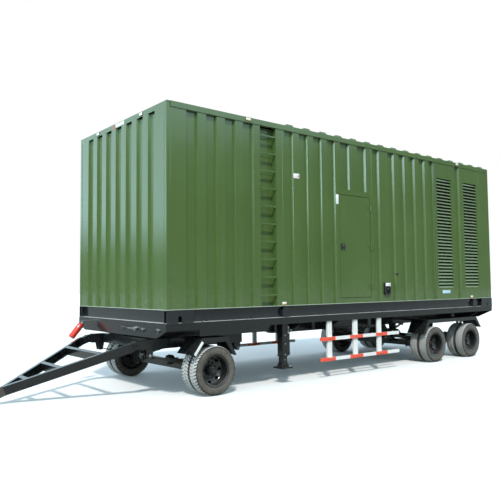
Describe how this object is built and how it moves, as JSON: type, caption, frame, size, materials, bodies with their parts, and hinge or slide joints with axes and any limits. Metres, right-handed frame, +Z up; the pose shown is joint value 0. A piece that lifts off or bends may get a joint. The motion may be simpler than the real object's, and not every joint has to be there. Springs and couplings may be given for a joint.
{
  "type": "towable diesel generator",
  "caption": "Walk-in corrugated generator housing with louvres, doors and a wall ladder, on a skid carried by a full trailer with a steered dolly, A-frame drawbar and dual wheels.",
  "frame": {"origin": "on the ground, under the middle of the overall length and of the width", "axes": "+X along the vehicle towards its rear, with the towing eye at the -X end; +Y towards the far side, away from the ladder; +Z up"},
  "size_m": [10.9254, 3.074, 4.363],
  "materials": {
    "green_paint": "glossy olive green enamel over sheet steel",
    "black_steel": "gloss black enamel over steel sections",
    "black_plastic": "moulded black",
    "grey_steel": "bare machined steel",
    "white_paint": "gloss white with vermilion bands on the rails",
    "red_paint": "gloss red",
    "lamp_lens": "clear and amber lens plastic",
    "cast_iron": "painted casting",
    "grey_paint": "grey machinery enamel",
    "radiator_core": "black finned core",
    "bare_aluminium": "aluminised sheet",
    "rubber": "dusty rubber"
  },
  "bodies": {
    "trailer": {"alternator_stator": "grey_paint", "blank_plates": "white_paint", "control_cabinet": "grey_paint", "coupling_sockets": "grey_steel", "cross_members": "black_steel", "door_hinges": "green_paint", "edge_rails": "black_steel", "end_walls": "green_paint", "engine_block": "cast_iron", "exhaust_silencer": "bare_aluminium", "far_wall": "green_paint", "fire_extinguisher": "red_paint", "floor_plate": "black_steel", "fuel_tank": "black_steel", "ladder_rungs": "green_paint", "landing_legs": "black_steel", "louvre_panels": "green_paint", "main_beams": "black_steel", "marker_lamps": "lamp_lens", "near_wall": "green_paint", "radiator": "radiator_core", "rear_axles": "black_steel", "rear_fenders": "black_steel", "rear_hangers": "black_steel", "rear_springs": "black_steel", "roof": "green_paint", "side_guards": "white_paint", "skid_corner_plates": "black_steel", "skid_frame": "black_steel", "skid_side_channels": "black_steel", "switch_box": "black_plastic", "turntable_upper_race": "black_steel"},
    "dolly": {"dolly_frame": "black_steel", "dolly_springs": "black_steel", "dolly_axle": "black_steel", "dolly_fenders": "black_steel", "turntable_lower_race": "black_steel"},
    "drawbar": {"drawbar_frame": "black_steel", "tow_eye": "black_steel"},
    "near_door_leaf": {"near_door": "green_paint"},
    "near_latch": {"near_latch_paddle": "black_plastic"},
    "far_door_leaf": {"far_door": "green_paint"},
    "far_latch": {"far_latch_paddle": "black_plastic"},
    "landing_gear_feet": {"landing_feet": "black_steel"},
    "isolator_handle": {"switch_handle": "grey_steel"},
    "parking_brake_lever": {"brake_lever": "grey_steel"},
    "crank_train": {"rotor_crankshaft": "grey_steel"},
    "fan_rotor": {"cooling_fan": "grey_steel"},
    "front_near_wheel": {"front_near_tyres": "rubber", "front_near_rims": "black_steel"},
    "front_far_wheel": {"front_far_tyres": "rubber", "front_far_rims": "black_steel"},
    "middle_near_wheel": {"middle_near_tyres": "rubber", "middle_near_rims": "black_steel"},
    "middle_far_wheel": {"middle_far_tyres": "rubber", "middle_far_rims": "black_steel"},
    "rear_near_wheel": {"rear_near_tyres": "rubber", "rear_near_rims": "black_steel"},
    "rear_far_wheel": {"rear_far_tyres": "rubber", "rear_far_rims": "black_steel"}
  },
  "joints": [
    {"name": "dolly_steer", "type": "hinge", "parent": "trailer", "child": "dolly", "pos_m": [-2.56125, 0, 0.8675], "axis": [0, 0, 1], "range_deg": [-30, 30]},
    {"name": "drawbar_lift", "type": "hinge", "parent": "dolly", "child": "drawbar", "pos_m": [-3.55925, 0, 0.77], "axis": [0, 1, 0], "range_deg": [0, 22]},
    {"name": "near_door_swing", "type": "hinge", "parent": "trailer", "child": "near_door_leaf", "pos_m": [1.07475, -1.514, 2.3], "axis": [0, 0, 1], "range_deg": [0, 110]},
    {"name": "near_latch_press", "type": "hinge", "parent": "near_door_leaf", "child": "near_latch", "pos_m": [0.29275, -1.5053, 2.379], "axis": [-1, 0, 0], "range_deg": [0, 25], "stiffness_Nm_per_rad": 1, "springref_deg": -8.59},
    {"name": "far_door_swing", "type": "hinge", "parent": "trailer", "child": "far_door_leaf", "pos_m": [1.07475, 1.514, 2.3], "axis": [0, 0, -1], "range_deg": [0, 110]},
    {"name": "far_latch_press", "type": "hinge", "parent": "far_door_leaf", "child": "far_latch", "pos_m": [0.29275, 1.5053, 2.379], "axis": [1, 0, 0], "range_deg": [0, 25], "stiffness_Nm_per_rad": 1, "springref_deg": -8.59},
    {"name": "landing_feet_drop", "type": "slide", "parent": "trailer", "child": "landing_gear_feet", "axis": [0, 0, -1], "range_m": [0, 0.25]},
    {"name": "isolator_turn", "type": "hinge", "parent": "trailer", "child": "isolator_handle", "pos_m": [1.51775, -1.536, 1.528], "axis": [0, 1, 0], "range_deg": [0, 90]},
    {"name": "brake_lever_swing", "type": "hinge", "parent": "trailer", "child": "parking_brake_lever", "pos_m": [-3.44925, -0.64, 1.008], "axis": [1, 0, 0], "range_deg": [0, 45]},
    {"name": "crank_spin", "type": "hinge", "parent": "trailer", "child": "crank_train", "pos_m": [-0.41925, 0, 1.92], "axis": [1, 0, 0], "continuous": true},
    {"name": "fan_spin", "type": "hinge", "parent": "trailer", "child": "fan_rotor", "pos_m": [2.14075, 0, 2.55], "axis": [1, 0, 0], "continuous": true},
    {"name": "front_near_roll", "type": "hinge", "parent": "dolly", "child": "front_near_wheel", "pos_m": [-2.56125, -1.302, 0.37], "axis": [0, 1, 0], "continuous": true},
    {"name": "front_far_roll", "type": "hinge", "parent": "dolly", "child": "front_far_wheel", "pos_m": [-2.56125, 1.302, 0.37], "axis": [0, 1, 0], "continuous": true},
    {"name": "middle_near_roll", "type": "hinge", "parent": "trailer", "child": "middle_near_wheel", "pos_m": [3.13075, -1.302, 0.37], "axis": [0, 1, 0], "continuous": true},
    {"name": "middle_far_roll", "type": "hinge", "parent": "trailer", "child": "middle_far_wheel", "pos_m": [3.13075, 1.302, 0.37], "axis": [0, 1, 0], "continuous": true},
    {"name": "rear_near_roll", "type": "hinge", "parent": "trailer", "child": "rear_near_wheel", "pos_m": [4.48675, -1.302, 0.37], "axis": [0, 1, 0], "continuous": true},
    {"name": "rear_far_roll", "type": "hinge", "parent": "trailer", "child": "rear_far_wheel", "pos_m": [4.48675, 1.302, 0.37], "axis": [0, 1, 0], "continuous": true}
  ],
  "couplings": [
    {"joint": "fan_spin", "follows": "crank_spin", "ratio": 0.9}
  ]
}
